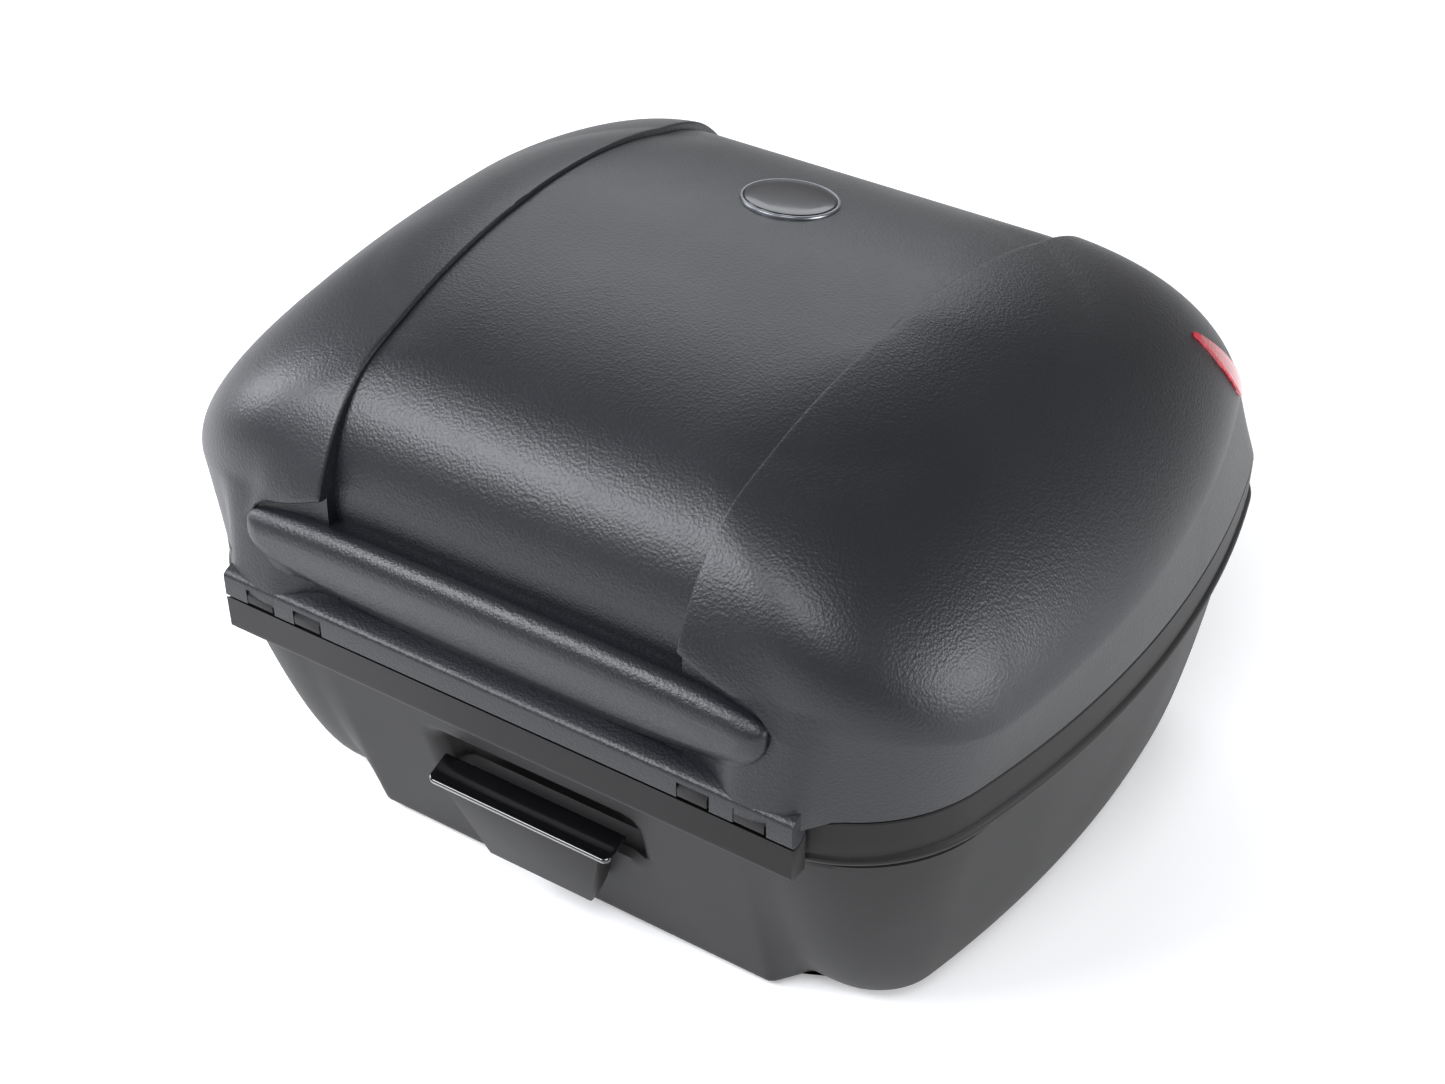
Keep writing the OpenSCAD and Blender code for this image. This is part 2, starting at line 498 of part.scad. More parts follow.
module reflector_right() color("#b3121e") patch(reflector_skin(-2), reflector_skin(-0.6));
module reflector_left() mirror([1, 0, 0]) reflector_right();
catch_y = cam_y + 5.5;
module lid_catch() color("#3a3a3a") {
  along_x(-24, 24) polygon([[catch_y, lid_bottom + 4], [rear_y - 1.5 - wall - 0.6, lid_bottom + 4],
    [rear_y - 1.5 - wall - 1.7, lid_bottom + 20], [catch_y, lid_bottom + 20]]);
  translate([8, catch_y, lock_z - 10]) cube([13, 4, lid_bottom + 5 - lock_z + 10]);
  translate([8, catch_y - 6, lock_z - 10.5]) cube([13, 10, 5]);
}
module catch_screws() color("#6f6f6d") mirrored() translate([16, catch_y, lid_bottom + 12]) rotate([90, 0, 0]) screw(16);

base_shell();
base_hinge_rail();
hinge_pin_left();
hinge_pin_right();
rim_seal();
floor_mat();
rubber_feet();
bar_saddles();
rear_hooks();
base_screws();
bolt_guides();
guide_lips();
lever_bracket();
lever_pin();
lever_spring();
lock_housing();
housing_screws();
handle_lug_left();
handle_lug_right();
handle_pin_left();
handle_pin_right();
release_lever();
grip_plate();
grip_screws();
crank_pin();
latch_bolt();
carry_handle();
handle_sleeve();
lock_barrel();
lock_cam();
cam_nut();
lid_shell();
lid_hinge_rail();
rail_screws();
front_cover();
badge();
badge_rim();
reflector_left();
reflector_right();
lid_catch();
catch_screws();
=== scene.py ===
import math

import bmesh
import bpy
import numpy as np
from mathutils import Matrix, Vector


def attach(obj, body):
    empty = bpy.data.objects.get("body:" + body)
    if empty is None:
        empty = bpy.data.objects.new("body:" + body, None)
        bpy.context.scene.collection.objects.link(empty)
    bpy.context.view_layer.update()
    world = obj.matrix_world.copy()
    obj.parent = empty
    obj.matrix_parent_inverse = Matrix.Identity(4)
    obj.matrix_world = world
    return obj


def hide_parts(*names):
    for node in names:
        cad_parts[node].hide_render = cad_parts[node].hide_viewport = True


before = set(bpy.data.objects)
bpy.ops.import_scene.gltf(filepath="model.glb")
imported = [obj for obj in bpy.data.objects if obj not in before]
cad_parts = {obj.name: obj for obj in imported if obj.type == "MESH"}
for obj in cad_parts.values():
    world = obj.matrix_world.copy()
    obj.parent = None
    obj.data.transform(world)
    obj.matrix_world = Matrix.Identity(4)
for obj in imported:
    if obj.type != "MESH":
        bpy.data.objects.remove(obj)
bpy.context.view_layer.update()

# ---------------------------------------------------------------- studio
# A seamless white floor that glows a little, as a light table does, and softboxes round the case:
# front left, left, front right, low right, and a big one behind that sheens the top.
scene = bpy.context.scene
scene.view_settings.view_transform = "Standard"


def linear(hex_colour):
    """sRGB hex colour as linear RGBA."""
    channels = [int(hex_colour[i:i + 2], 16) / 255 for i in (0, 2, 4)]
    return [c / 12.92 if c <= 0.04045 else ((c + 0.055) / 1.055) ** 2.4 for c in channels] + [1.0]


def add_node(tree, kind, settings=None, links=None):
    """Adds a node with its settings and the links into it: input name to (node, output name)."""
    made = tree.nodes.new(kind)
    for name, value in (settings or {}).items():
        if isinstance(name, int) or name in made.inputs:
            made.inputs[name].default_value = value
        else:
            setattr(made, name, value)
    for name, (source, output) in (links or {}).items():
        tree.links.new(source.outputs[output], made.inputs[name])
    return made


camera_data = bpy.data.cameras.new("camera")
camera_data.lens, camera_data.sensor_width = 57.94, 36.0
camera = bpy.data.objects.new("camera", camera_data)
azimuth, elevation = math.radians(32.476), math.radians(38.003)
back = Vector((math.sin(azimuth) * math.cos(elevation) * 1.0, -math.cos(azimuth) * math.cos(elevation),
               math.sin(elevation)))
right = Vector((math.cos(azimuth), math.sin(azimuth), 0))
up = back.cross(right)
camera.matrix_world = Matrix((
    (right.x, up.x, back.x, 0.5432),
    (right.y, up.y, back.y, -0.8548),
    (right.z, up.z, back.z, 0.9320),
    (0, 0, 0, 1)))
scene.collection.objects.link(camera)
scene.camera = camera

floor_mesh = bpy.data.meshes.new("floor")
floor_mesh.from_pydata([(-8, -8, 0), (8, -8, 0), (8, 8, 0), (-8, 8, 0)], [], [(0, 1, 2, 3)])
floor = bpy.data.objects.new("floor", floor_mesh)
scene.collection.objects.link(floor)
paper = bpy.data.materials.new("white_paper")
paper.use_nodes = True
paper_tree = paper.node_tree
paper_tree.nodes.clear()
paper_surface = add_node(paper_tree, "ShaderNodeBsdfDiffuse", {"Color": linear("ececec")})
paper_glow = add_node(paper_tree, "ShaderNodeEmission", {"Color": linear("ffffff"), "Strength": 0.3})
paper_sum = add_node(paper_tree, "ShaderNodeAddShader",
                     links={0: (paper_surface, "BSDF"), 1: (paper_glow, "Emission")})
add_node(paper_tree, "ShaderNodeOutputMaterial", links={"Surface": (paper_sum, "Shader")})
floor_mesh.materials.append(paper)

world = bpy.data.worlds.new("studio")
world.use_nodes = True
world.node_tree.nodes["Background"].inputs["Color"].default_value = (1, 1, 1, 1)
world.node_tree.nodes["Background"].inputs["Strength"].default_value = 0.3
scene.world = world
for name, place, aim, size, power, tint in (
        ("front_left_softbox", (-0.62, -0.95, 1.12), (0, -0.05, 0.2), (0.75, 0.45), 19, (0.93, 0.95, 1.0)),
        ("left_softbox", (-1.45, -0.25, 0.75), (0, 0, 0.2), (0.7, 0.5), 13, (0.93, 0.95, 1.0)),
        ("front_right_softbox", (0.42, -0.85, 1.45), (0, -0.05, 0.2), (0.5, 0.4), 11, (0.93, 0.95, 1.0)),
        ("right_softbox", (1.5, 0.2, 0.5), (0, 0, 0.2), (0.8, 0.35), 12, (0.95, 0.96, 1.0)),
        ("rear_softbox", (-0.75, 1.3, 1.25), (0, 0, 0.2), (1.7, 0.9), 13, (0.93, 0.95, 1.0))):
    light_data = bpy.data.lights.new(name, "AREA")
    light_data.shape, light_data.size, light_data.size_y = "RECTANGLE", size[0], size[1]
    light_data.energy, light_data.color = power, tint
    light = bpy.data.objects.new(name, light_data)
    light.location = place
    light.rotation_euler = (Vector(aim) - Vector(place)).to_track_quat("-Z", "Y").to_euler()
    scene.collection.objects.link(light)

# ---------------------------------------------------------------- base shell
# The lower half of the case: black ABS, injection moulded, with a fine spark-eroded grain and a round
# bead all round under the rim. A flat panel stands forward at the hinge side, with a scoop for fingers.
half_w, front_y, rear_y = 252.3, -210.0, 210.0
foot_z, ridge_z, base_top, wall = 4.0, 152.0, 177.25, 3.0
skin_y = -197.5                      # outer face of both front walls, behind the hinge rails
panel_w = 128.0
scoop_w, scoop_low, scoop_high, scoop_deep, scoop_soft = 68.0, 84.0, 117.0, 14.0, 15.0
bay_w, bay_front, bay_rear = 122.0, -146.0, 140.0    # rack bay under the floor


def mix(a, b, t):
    return a + (b - a) * t


def soft(t):
    """0 to 1 with a level start and end."""
    t = np.clip(t, 0, 1)
    return t * t * (3 - 2 * t)


def outline(w, bow_y, bow, yf, yr, rf, rr, panel=None):
    """Right half of a level outline, from the middle of the front to the middle of the rear: points and
    the direction the wall faces, in degrees. Three tangent arcs; panel is the front panel's own y."""
    cx, fy, ry = w - bow, yf + rf, yr - rr
    fx = cx + math.sqrt((bow - rf) ** 2 - (fy - bow_y) ** 2)
    rx = cx + math.sqrt((bow - rr) ** 2 - (ry - bow_y) ** 2)
    a1 = math.degrees(math.atan2(fy - bow_y, fx - cx))
    a2 = math.degrees(math.atan2(ry - bow_y, rx - cx))
    flat = np.concatenate([np.linspace(0, panel_w - 3, 34), np.linspace(panel_w - 3, panel_w + 19, 13)[1:],
                           np.linspace(panel_w + 19, max(fx, panel_w + 20), 4)[1:-1]])
    y = np.full(len(flat), float(yf))
    if panel is not None:
        s = np.interp((flat - panel_w + 3) / 22, [0, .1, .2, .8, .9, 1], [0, .025, .1, .9, .975, 1])
        y = mix(panel, yf, s)
    points = [(px, py, -90.0) for px, py in zip(flat, y)]
    points += [(fx + rf * math.cos(a), fy + rf * math.sin(a), math.degrees(a))
               for a in np.radians(np.linspace(-90, a1, 19))]
    points += [(cx + bow * math.cos(a), bow_y + bow * math.sin(a), math.degrees(a))
               for a in np.radians(np.linspace(a1, a2, 26)[1:-1])]
    points += [(rx + rr * math.cos(a), ry + rr * math.sin(a), math.degrees(a))
               for a in np.radians(np.linspace(a2, 90, 17))]
    points += [(px, yr, 90.0) for px in np.linspace(rx, 0, 12)[1:]]
    return np.array(points)


def whole(half, z):
    """Closed ring of points from a half outline and a height, or one height for each point."""
    half = np.column_stack([half[:, 0], half[:, 1], np.broadcast_to(z, len(half))])
    other = half[-2:0:-1] * (-1, 1, 1)
    return np.concatenate([half, other])


def rise(z):
    return min(1, max(0, (z - foot_z) / (ridge_z - foot_z)))


def panel_y(z):
    return mix(-155, -195, rise(z))


def base_outline(z, t):
    """Body of the base at height z, moved inward by t."""
    v = rise(z) ** 0.7
    yf = front_y + mix(80, 16, rise(z) ** 0.6)
    return outline(half_w - mix(35, 6, v) - t, mix(75, 30, v), 700 - t, yf + t, rear_y - mix(35, 8, v) - t,
                   mix(35, 80, v) - t, mix(60, 48, v) - t, panel_y(z) + t)


def rim_outline(w, yr, t):
    return outline(w - t, 35, 600 - t, skin_y + t, yr - t, 87 - t, 45 - t)


def bay_outline(t):
    return outline(bay_w + t, 0, 3000, bay_front - t, bay_rear + t, 15, 15)


def bay_ring(t):
    ring = whole(bay_outline(t), 0.0)
    ring[:, 2] = foot_z + mix(30, 20, (ring[:, 1] - bay_front) / (bay_rear - bay_front)) + t
    return ring


def bay_fix(ring):
    """The bay is narrower than the panel: its straight front runs only to its own corner."""
    ring[:, 0] = np.clip(ring[:, 0], -bay_w - wall, bay_w + wall)
    return ring


def scooped(ring):
    """Pushes the panel in behind the grip plate."""
    x, z = np.abs(ring[:, 0]), ring[:, 2]
    push = soft((scoop_w - x) / scoop_soft) * soft((scoop_high - z) / scoop_soft) * soft((z - scoop_low + 8) / 6)
    ring[:, 1] += np.where(ring[:, 1] < -140, push * scoop_deep, 0)
    return ring


def surface(name, rings, body, material, angle=35, caps=True, closed=True):
    """Mesh piece through a list of rings of points in millimetres, with its first and last ring filled."""
    rings = np.array(rings, float)
    rows, columns = rings.shape[:2]
    faces = []
    for k in range(rows - 1):
        for i in range(columns if closed else columns - 1):
            j = (i + 1) % columns
            faces.append((k * columns + i, k * columns + j, (k + 1) * columns + j, (k + 1) * columns + i))
    if caps:
        faces.append(tuple(range(columns - 1, -1, -1)))
        faces.append(tuple((rows - 1) * columns + i for i in range(columns)))
    return piece(name, rings.reshape(-1, 3), faces, body, material, angle)


def piece(name, points, faces, body, material, angle=35):
    """Mesh piece from points in millimetres: joined, turned outward, smooth below the given angle."""
    mesh = bpy.data.meshes.new(name)
    mesh.from_pydata([tuple(p) for p in np.array(points, float) / 1000], [], [tuple(f) for f in faces])
    work = bmesh.new()
    work.from_mesh(mesh)
    bmesh.ops.remove_doubles(work, verts=work.verts, dist=1e-6)
    bmesh.ops.dissolve_degenerate(work, edges=work.edges, dist=1e-7)
    bmesh.ops.recalc_face_normals(work, faces=work.faces)
    work.to_mesh(mesh)
    work.free()
    mesh.shade_smooth()
    mesh.set_sharp_from_angle(angle=math.radians(angle))
    mesh.materials.append(material)
    made = bpy.data.objects.new(name, mesh)
    scene.collection.objects.link(made)
    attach(made, body)
    return made


def moulded(name, dark, light, grain, height, rough, coat=0.0):
    """Moulded plastic: a fine leather-like grain of cells `grain` millimetres across and `height` deep,
    slight patches of colour and gloss, and edges rubbed a little lighter."""
    material = bpy.data.materials.new(name)
    material.use_nodes = True
    tree = material.node_tree
    tree.nodes.clear()
    place = add_node(tree, "ShaderNodeTexCoord")
    cells = add_node(tree, "ShaderNodeTexVoronoi", {"Scale": 1000 / grain, "Randomness": 1.0},
                     {"Vector": (place, "Object")})
    fine = add_node(tree, "ShaderNodeTexNoise", {"Scale": 1700 / grain, "Detail": 2.0, "Roughness": 0.6},
                    {"Vector": (place, "Object")})
    relief = add_node(tree, "ShaderNodeMath", {"operation": "ADD"},
                      {0: (cells, "Distance"), 1: (fine, "Fac")})
    bump = add_node(tree, "ShaderNodeBump", {"Strength": 0.55, "Distance": height / 1000},
                    {"Height": (relief, 0)})
    patches = add_node(tree, "ShaderNodeTexNoise", {"Scale": 9.0, "Detail": 5.0, "Roughness": 0.55},
                       {"Vector": (place, "Object")})
    edges = add_node(tree, "ShaderNodeNewGeometry")
    rubbed = add_node(tree, "ShaderNodeMapRange",
                      {"From Min": 0.52, "From Max": 0.66, "To Min": 0.0, "To Max": 0.5},
                      {"Value": (edges, "Pointiness")})
    body_colour = add_node(tree, "ShaderNodeMix", {"data_type": "RGBA", 6: linear(dark), 7: linear(light)},
                           {0: (patches, "Fac")})
    colour = add_node(tree, "ShaderNodeMix", {"data_type": "RGBA", 7: linear(light)},
                      {0: (rubbed, "Result"), 6: (body_colour, 2)})
    gloss = add_node(tree, "ShaderNodeMapRange",
                     {"From Min": 0.3, "From Max": 0.7, "To Min": rough - 0.03, "To Max": rough + 0.04},
                     {"Value": (patches, "Fac")})
    shader = add_node(tree, "ShaderNodeBsdfPrincipled",
                      {"IOR": 1.5, "Coat Weight": coat, "Coat Roughness": 0.06},
                      {"Base Color": (colour, 2), "Roughness": (gloss, "Result"), "Normal": (bump, "Normal")})
    add_node(tree, "ShaderNodeOutputMaterial", links={"Surface": (shader, "BSDF")})
    return material


base_abs = moulded("base_moulded_black_abs", "111010", "1a1919", 1.3, 0.06, 0.5)
base_abs.node_tree.nodes["Principled BSDF"].inputs["Specular IOR Level"].default_value = 0.27

outer_rows = [scooped(whole(base_outline(z, t), z)) for z, t in
              [(foot_z, 2.5), (foot_z + 0.5, 1.0), (foot_z + 1.6, 0.25), (foot_z + 3, 0.0)]
              + [(z, 0.0) for z in np.linspace(foot_z + 6, 78, 14)]
              + [(z, 0.0) for z in np.linspace(80, 122, 22)]
              + [(z, 0.0) for z in np.linspace(126, 148, 7)]]
bead_rows = [whole(rim_outline(half_w, rear_y, t), z) for z, t in
             [(149.2, 3.4), (150.2, 1.6), (151.2, 0.5), (152.4, 0.0), (153.6, 0.0), (154.6, 0.4),
              (155.4, 1.2)]]
rim_rows = [whole(rim_outline(half_w - 2, rear_y - 1.5, t), z) for z, t in
            [(156.4, 0.3), (157.5, 0.0), (166, 0.0), (base_top - 0.7, 0.0), (base_top, 0.7),
             (base_top, 2.4), (base_top - 0.6, 3.0), (ridge_z, 3.0)]]
inner_rows = [scooped(whole(base_outline(z, wall), z)) for z in
              list(np.linspace(148, 124, 5)) + list(np.linspace(122, 78, 16))
              + list(np.linspace(74, foot_z + wall, 10))]
bay_rows = [bay_fix(bay_ring(0)), bay_fix(whole(bay_outline(0), foot_z + 1)),
            bay_fix(whole(bay_outline(1.0), foot_z))]
base_shell = surface("base_shell", bay_rows + outer_rows + bead_rows + rim_rows + inner_rows
                     + [bay_fix(whole(bay_outline(wall), foot_z + wall)), bay_fix(bay_ring(wall))],
                     "base", base_abs)
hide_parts("base_shell")


def cut(target, points, faces):
    """Cuts a closed form, in millimetres, out of a piece."""
    tool_mesh = bpy.data.meshes.new("cutter")
    tool_mesh.from_pydata([tuple(p) for p in np.array(points, float) / 1000], [], faces)
    work = bmesh.new()
    work.from_mesh(tool_mesh)
    bmesh.ops.recalc_face_normals(work, faces=work.faces)
    work.to_mesh(tool_mesh)
    work.free()
    tool = bpy.data.objects.new("cutter", tool_mesh)
    scene.collection.objects.link(tool)
    step = target.modifiers.new("cut", "BOOLEAN")
    step.operation, step.object, step.solver = "DIFFERENCE", tool, "EXACT"
    held = target.matrix_world.copy()
    view = bpy.context.evaluated_depsgraph_get()
    result = bpy.data.meshes.new_from_object(target.evaluated_get(view))
    target.modifiers.remove(step)
    old = target.data
    target.data = result
    bpy.data.meshes.remove(old)
    bpy.data.objects.remove(tool)
    target.matrix_world = held


def prism(profile, x0, x1):
    """Points and faces of a YZ profile, in order round it, pulled from x0 to x1."""
    n = len(profile)
    points = [(x, y, z) for x in (x0, x1) for y, z in profile]
    faces = [tuple(range(n)), tuple(range(2 * n - 1, n - 1, -1))]
    faces += [(i, n + i, n + (i + 1) % n, (i + 1) % n) for i in range(n)]
    return points, faces


lever_z, tunnel_w = 43.0, 8.0
cut(base_shell, *prism([(panel_y(21) - 6, 21), (-150, 9), (-135, 9), (-135, 30), (-144, 37), (-150, 44),
                        (panel_y(44) - 6, 44)],
                       -tunnel_w, tunnel_w))
lock_z, lock_hole_r = 132.0, 7.5
circle = np.radians(np.arange(0, 360, 7.5))
cut(base_shell, [(lock_hole_r * math.cos(a), y, lock_z + lock_hole_r * math.sin(a))
                 for y in (180, 220) for a in circle],
    [tuple(range(48)), tuple(range(95, 47, -1))]
    + [(i, 48 + i, 48 + (i + 1) % 48, (i + 1) % 48) for i in range(48)])

# Housing moulded inside the front wall, which lets the lever's crank reach the bay.
housing_points, housing_faces = [], []
for x0, x1 in ((-tunnel_w - wall, -tunnel_w), (tunnel_w, tunnel_w + wall)):
    more, sides = prism([(panel_y(5) + 1, 5), (panel_y(48) + 1, 48), (-150, 48), (-141, 40), (-141, 35),
                         (-146, 34)], x0, x1)
    housing_faces += [tuple(i + len(housing_points) for i in f) for f in sides]
    housing_points += more
more, sides = prism([(panel_y(44) + 1, 44.5), (panel_y(48) + 1, 48), (-150, 48), (-141, 40), (-141, 36),
                     (-144, 37.5), (-150, 44.5)], -tunnel_w, tunnel_w)
housing_faces += [tuple(i + len(housing_points) for i in f) for f in sides]
housing_points += more
crank_housing = piece("crank_housing", housing_points, housing_faces, "base", base_abs)

# ---------------------------------------------------------------- hinge rails
# Two long bars meet at the hinge line: the base's carries four knuckles, the lid's is notched for them
# and turns in a round groove. Both are moulded black plastic, screwed on, their front edges softly rounded.
hinge_y, hinge_z, rail_half, face_y = -204.5, 177.5, 170.0, -209.85
rail_r, groove_r, knuckle_r, knuckle_w = 6.6, 7.4, 5.4, 16.5
knuckles = [s * (x + knuckle_w / 2) for s in (-1, 1) for x in (107.5, 138.5)]


def arc(cy, cz, r, start, end, steps=10):
    return [(cy + r * math.cos(a), cz + r * math.sin(a)) for a in np.radians(np.linspace(start, end, steps))]


def bevel(target, width, segments=3, angle=30):
    """Rounds a piece's edges for good."""
    step = target.modifiers.new("bevel", "BEVEL")
    step.width, step.segments, step.limit_method = width / 1000, segments, "ANGLE"
    step.angle_limit, step.harden_normals = math.radians(angle), False
    view = bpy.context.evaluated_depsgraph_get()
    result = bpy.data.meshes.new_from_object(target.evaluated_get(view))
    target.modifiers.remove(step)
    old = target.data
    target.data = result
    bpy.data.meshes.remove(old)
    result.shade_smooth()
    result.set_sharp_from_angle(angle=math.radians(40))


def bars(name, parts, body, material, width, segments=3):
    """One piece from several prisms, with its edges rounded."""
    points, faces = [], []
    for profile, x0, x1 in parts:
        more, sides = prism(profile, x0, x1)
        faces += [tuple(i + len(points) for i in f) for f in sides]
        points += more
    made = piece(name, points, faces, body, material)
    if width:
        bevel(made, width, segments)
    return made


rail_profile = [(front_y, 156.0)] + arc(-206.5, 154.5, 3.5, 180, 270, 7) \
    + [(skin_y, 151), (skin_y, base_top)] \
    + arc(hinge_y, hinge_z, groove_r, -3, -138, 16) + [(front_y, hinge_z - 5.2)]
knuckle_profile = [(-206.0, 172.0), (skin_y - 0.4, 172.0), (skin_y - 0.4, hinge_z - 2)] \
    + arc(hinge_y, hinge_z, knuckle_r, 0, 157, 12) + [(face_y, 179.3), (face_y, 174.6), (-206.0, 174.4)]
base_rail = bars("base_hinge_rail", [(rail_profile, -rail_half, rail_half)]
                 + [(knuckle_profile, x - knuckle_w / 2, x + knuckle_w / 2) for x in knuckles],
                 "base", base_abs, 0.5, 2)
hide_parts("base_hinge_rail")

lid_abs = moulded("lid_grained_black_abs", "121317", "191a1f", 1.7, 0.26, 0.4)
slope = [(skin_y + 1, 190.4), (-202.5, 189.5), (-207.0, 188.4), (-208.9, 187.4), (-209.7, 186.2),
         (face_y, 185.0)]
lid_profile = [(front_y + 0.02, 178.4)] + arc(hinge_y, hinge_z, rail_r, -146, 0, 15) + slope
high_profile = [(front_y + 0.02, 183.3), (skin_y - 0.02, 183.3)] + slope
edges_x = sorted(x + s for x in knuckles for s in (-knuckle_w / 2 - 0.3, knuckle_w / 2 + 1.3))
solid_x = list(zip([-rail_half] + edges_x[1::2], edges_x[0::2] + [rail_half]))
lid_rail = bars("lid_hinge_rail", [(lid_profile, x0, x1) for x0, x1 in solid_x]
                + [(high_profile, edges_x[i], edges_x[i + 1]) for i in range(0, 8, 2)], "lid", lid_abs, 0)
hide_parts("lid_hinge_rail")

# ---------------------------------------------------------------- metal parts
# Hinge pins, lever pin, screws, cam and spring: bright zinc-plated steel. It gives a soft grey shine
# with faint turning marks and duller patches.


def plated(name, dark, light, rough, mark=0.8):
    """Zinc- or chrome-plated metal with turning marks `mark` millimetres apart."""
    material = bpy.data.materials.new(name)
    material.use_nodes = True
    tree = material.node_tree
    tree.nodes.clear()
    place = add_node(tree, "ShaderNodeTexCoord")
    marks = add_node(tree, "ShaderNodeTexNoise", {"Scale": 1000 / mark, "Detail": 3.0},
                     {"Vector": (place, "Object")})
    patches = add_node(tree, "ShaderNodeTexNoise", {"Scale": 90.0, "Detail": 4.0},
                       {"Vector": (place, "Object")})
    colour = add_node(tree, "ShaderNodeMix", {"data_type": "RGBA", 6: linear(dark), 7: linear(light)},
                      {0: (patches, "Fac")})
    gloss = add_node(tree, "ShaderNodeMapRange", {"To Min": rough - 0.06, "To Max": rough + 0.1},
                     {"Value": (marks, "Fac")})
    bump = add_node(tree, "ShaderNodeBump", {"Strength": 0.25, "Distance": 0.00004},
                    {"Height": (marks, "Fac")})
    shader = add_node(tree, "ShaderNodeBsdfPrincipled", {"Metallic": 1.0},
                      {"Base Color": (colour, 2), "Roughness": (gloss, "Result"), "Normal": (bump, "Normal")})
    add_node(tree, "ShaderNodeOutputMaterial", links={"Surface": (shader, "BSDF")})
    return material


def finish_node(names, material):
    """Gives carried parts their finish."""
    for name in names:
        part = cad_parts[name]
        part.data.materials.clear()
        part.data.materials.append(material)


zinc = plated("zinc_plated_steel", "8b8b88", "a9a9a4", 0.32)
finish_node(["hinge_pin_left", "hinge_pin_right", "base_screws", "lever_pin", "housing_screws",
             "handle_pin_left", "handle_pin_right", "grip_screws", "crank_pin", "rail_screws", "catch_screws",
             "cam_nut", "lock_cam", "lever_spring"], zinc)
painted = plated("black_painted_steel", "26262a", "323236", 0.45)
painted.node_tree.nodes["Principled BSDF"].inputs["Metallic"].default_value = 0.0
finish_node(["lever_bracket", "lid_catch"], painted)

# ---------------------------------------------------------------- seal, mat, feet and nylon blocks
# The rim seal and feet are black rubber; a felt mat lies on the bay's roof; saddles, hooks, guides
# and the latch bolt are dark glass-filled nylon, screwed under the bay.
rubber = moulded("black_rubber", "101010", "1a1a1a", 0.9, 0.03, 0.72)
finish_node(["rim_seal", "rubber_feet", "handle_sleeve"], rubber)
nylon = moulded("dark_glass_filled_nylon", "1b1b1b", "262626", 0.7, 0.03, 0.5)
finish_node(["bar_saddles", "rear_hooks", "bolt_guides", "guide_lips", "latch_bolt", "carry_handle",
             "lock_housing", "handle_lug_left", "handle_lug_right"], nylon)
felt = moulded("needled_felt", "17171a", "26262b", 0.5, 0.25, 0.95)
finish_node(["floor_mat"], felt)

# ---------------------------------------------------------------- release lever
# A wedge-shaped flap on the front panel, hinged at its foot, moulded from the same black plastic as the
# base. A crank inside it draws the latch bolt back. Its edges are only slightly rounded.
lean = math.atan2(40, 148)
lever_t, lever_h, lever_w, lever_low_w, lever_off = 17.0, 53.0, 50.0, 32.0, 7.5


def on_panel(points):
    """Points given across, out of and up the leaning panel, from the lever's foot."""
    points = np.array(points, float)
    y = panel_y(lever_z) + points[:, 1] * math.cos(lean) - points[:, 2] * math.sin(lean)
    z = lever_z + points[:, 1] * math.sin(lean) + points[:, 2] * math.cos(lean)
    return np.column_stack([points[:, 0], y, z])


def wedge_half(z):
    return mix(lever_low_w, lever_w, (z + 6.5) / (lever_h + 6.5))


side = [(-lever_t, lever_h), (-0.8, lever_h), (-0.8, 7.0), (-1.0, 0.0), (-lever_off, -6.5),
        (-lever_t + 3, -6.5), (-lever_t, -3.5)]
inner = [(-lever_t + 2.6, lever_h - 2.5), (0.0, lever_h - 2.5), (0.0, 4.0), (-4.0, 1.0), (-lever_off, -1.5),
         (-lever_t + 4, -1.5), (-lever_t + 2.6, 1.0)]
n = len(side)
flap_points = [(s * wedge_half(z), y, z) for s in (-1, 1) for y, z in side]
flap_faces = [tuple(range(n)), tuple(range(2 * n - 1, n - 1, -1))] \
    + [(i, n + i, n + (i + 1) % n, (i + 1) % n) for i in range(n)]
release_lever = piece("release_lever", on_panel(flap_points), flap_faces, "lever", base_abs)
cut(release_lever, on_panel([(s * (wedge_half(z) - 3), y + (3 if y == 0.0 else 0), z)
                             for s in (-1, 1) for y, z in inner]), flap_faces)
bevel(release_lever, 0.7, 2)
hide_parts("release_lever")

# The crank: a flat arm moulded behind the flap, from the pivot down to the pin that works the bolt.
pivot_y = panel_y(lever_z) - lever_off * math.cos(lean)
pivot_z = lever_z - lever_off * math.sin(lean)
crank_y, crank_z = pivot_y + 30.2, pivot_z - 25.0
tilt = math.atan2(crank_z - pivot_z, crank_y - pivot_y)
arm = arc(pivot_y, pivot_z, 4.0, math.degrees(tilt) + 90, math.degrees(tilt) + 270, 12) \
    + arc(crank_y, crank_z, 5.0, math.degrees(tilt) - 90, math.degrees(tilt) + 90, 12)
lever_crank = bars("lever_crank", [(arm, -5.5, 5.5)], "lever", base_abs, 0.5, 2)

# The grip plate: a glossy black cap moulded in polished ABS and screwed on the flap's top. Its front
# edge overhangs as a fine bright line, and its corners are round.
polished = moulded("polished_black_abs", "060607", "0a0a0c", 6.0, 0.004, 0.12, coat=1.0)
plate_outline = []
for cx, cy, r, a0, a1 in ((56, -2.2, 1.2, 0, 90), (-56, -2.2, 1.2, 90, 180), (-53.2, -15.2, 3.8, 180, 270),
                          (53.2, -15.2, 3.8, 270, 360)):
    plate_outline += [(cx + r * math.cos(a), cy + r * math.sin(a))
                      for a in np.radians(np.linspace(a0, a1, 9))]
plate_rows = []
for inset, z in ((0.5, 0.0), (0.0, 0.5), (0.0, 2.3), (0.35, 2.8), (0.9, 3.0)):
    row = []
    for x, y in plate_outline:
        row.append((x - math.copysign(inset, x), y - math.copysign(inset, y + 9), lever_h + 0.02 + z))
    plate_rows.append(on_panel(row))
